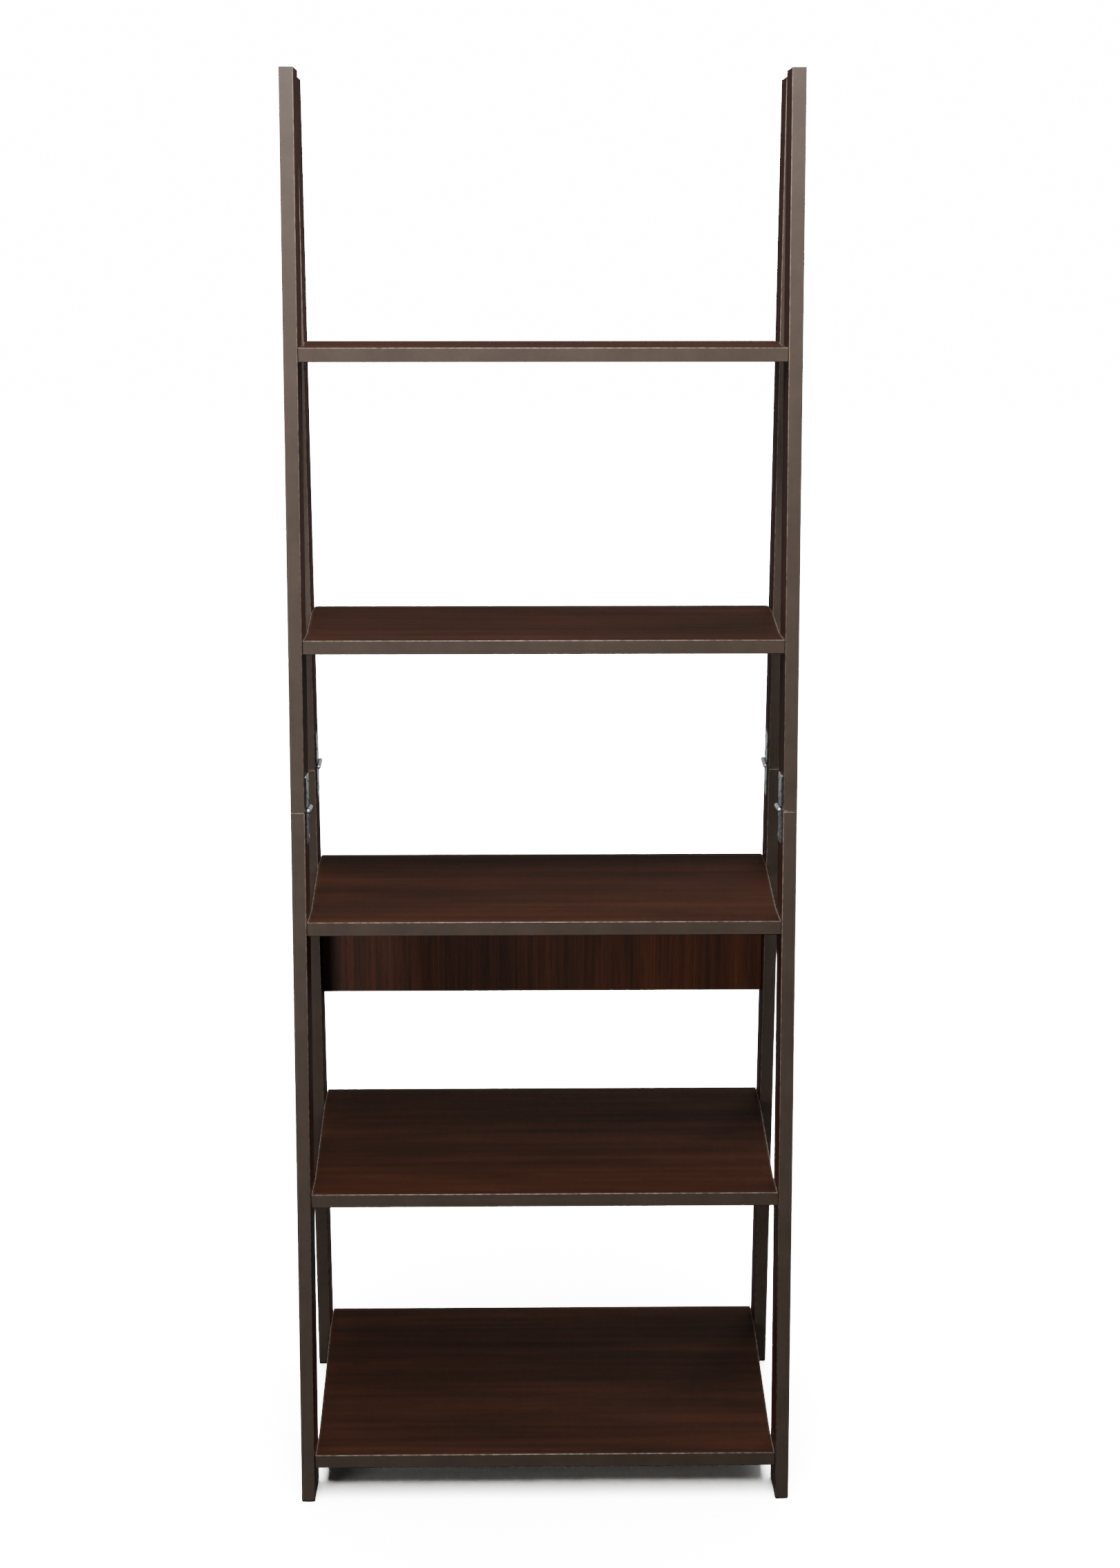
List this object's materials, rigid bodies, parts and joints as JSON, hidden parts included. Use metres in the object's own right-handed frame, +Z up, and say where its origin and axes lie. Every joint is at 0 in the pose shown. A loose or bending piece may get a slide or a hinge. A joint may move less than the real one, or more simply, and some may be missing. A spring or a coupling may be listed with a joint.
{
  "type": "ladder shelf",
  "caption": "Open ladder bookcase with tapered shelves between front and rear rails that lean together, each rail hinged at mid height, with a back brace.",
  "frame": {"origin": "on the floor, under the middle of the bounding box", "axes": "+X to the right seen from the open front, +Y to the back, +Z up"},
  "size_m": [0.6514, 0.492, 1.8],
  "materials": {
    "walnut_board": "satin dark walnut melamine",
    "edge_banding": "satin taupe edge banding",
    "foot_plastic": "matt dark plastic",
    "hinge_steel": "zinc-plated sheet steel",
    "pin_steel": "drawn steel wire",
    "screw_steel": "zinc-plated steel",
    "cap_plastic": "matt dark brown plastic",
    "beech": "plain beech dowel"
  },
  "bodies": {
    "root": {"front_left_upper_rail": "walnut_board", "front_left_upper_edging": "edge_banding", "front_left_lower_rail": "walnut_board", "front_left_lower_edging": "edge_banding", "front_left_foot_cap": "foot_plastic", "front_left_hinge_upper_leaf": "hinge_steel", "front_left_hinge_lower_leaf": "hinge_steel", "front_left_hinge_pin": "pin_steel", "front_left_hinge_screws": "screw_steel", "front_right_upper_rail": "walnut_board", "front_right_upper_edging": "edge_banding", "front_right_lower_rail": "walnut_board", "front_right_lower_edging": "edge_banding", "front_right_foot_cap": "foot_plastic", "front_right_hinge_upper_leaf": "hinge_steel", "front_right_hinge_lower_leaf": "hinge_steel", "front_right_hinge_pin": "pin_steel", "front_right_hinge_screws": "screw_steel", "rear_left_upper_rail": "walnut_board", "rear_left_upper_edging": "edge_banding", "rear_left_lower_rail": "walnut_board", "rear_left_lower_edging": "edge_banding", "rear_left_foot_cap": "foot_plastic", "rear_left_hinge_upper_leaf": "hinge_steel", "rear_left_hinge_lower_leaf": "hinge_steel", "rear_left_hinge_pin": "pin_steel", "rear_left_hinge_screws": "screw_steel", "rear_right_upper_rail": "walnut_board", "rear_right_upper_edging": "edge_banding", "rear_right_lower_rail": "walnut_board", "rear_right_lower_edging": "edge_banding", "rear_right_foot_cap": "foot_plastic", "rear_right_hinge_upper_leaf": "hinge_steel", "rear_right_hinge_lower_leaf": "hinge_steel", "rear_right_hinge_pin": "pin_steel", "rear_right_hinge_screws": "screw_steel", "shelf_1_board": "walnut_board", "shelf_1_edging": "edge_banding", "shelf_2_board": "walnut_board", "shelf_2_edging": "edge_banding", "shelf_3_board": "walnut_board", "shelf_3_edging": "edge_banding", "shelf_4_board": "walnut_board", "shelf_4_edging": "edge_banding", "shelf_5_board": "walnut_board", "shelf_5_edging": "edge_banding", "back_brace": "walnut_board", "back_brace_edging": "edge_banding", "shelf_screws": "screw_steel", "brace_screws": "screw_steel", "screw_caps": "cap_plastic", "shelf_dowels": "beech"}
  },
  "joints": []
}
